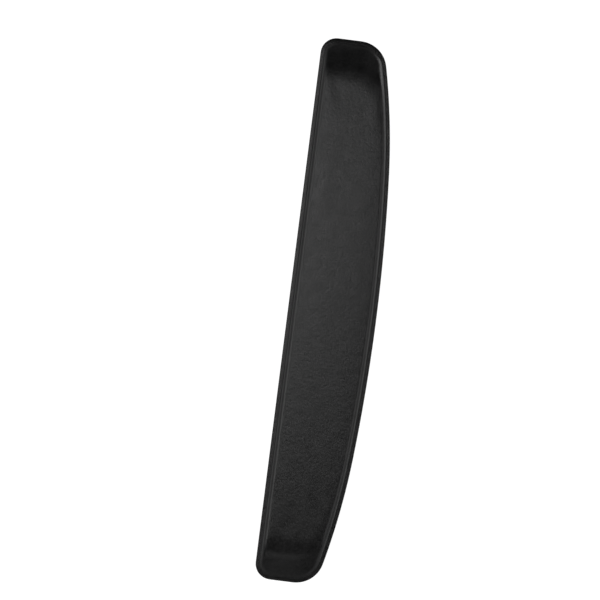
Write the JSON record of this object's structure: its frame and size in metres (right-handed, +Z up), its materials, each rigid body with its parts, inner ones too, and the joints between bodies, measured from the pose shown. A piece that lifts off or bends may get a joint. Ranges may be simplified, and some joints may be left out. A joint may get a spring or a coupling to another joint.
{
  "type": "wrist rest",
  "caption": "Long padded wrist rest for a keyboard: straight rear edge, bowed front, soft knit-covered bolster on a pressed rim and a flat non-slip rubber base.",
  "frame": {"origin": "centre of the footprint's bounding box, on the table", "axes": "+X along the keyboard to the typist's right, +Y from the typist to the keyboard, +Z up"},
  "size_m": [0.414, 0.0676, 0.018],
  "materials": {
    "knit": "fine black jersey knit, matt with a soft sheen",
    "foam": "dark soft polyurethane foam, open cells on its cut edge",
    "bond_film": "thin hot-melt adhesive film",
    "rubber": "black non-slip rubber, matt, with a fine moulded texture underneath"
  },
  "bodies": {
    "root": {"base_sheet": "rubber", "base_film": "bond_film", "foam_core": "foam", "knit_cover": "knit"}
  },
  "joints": []
}
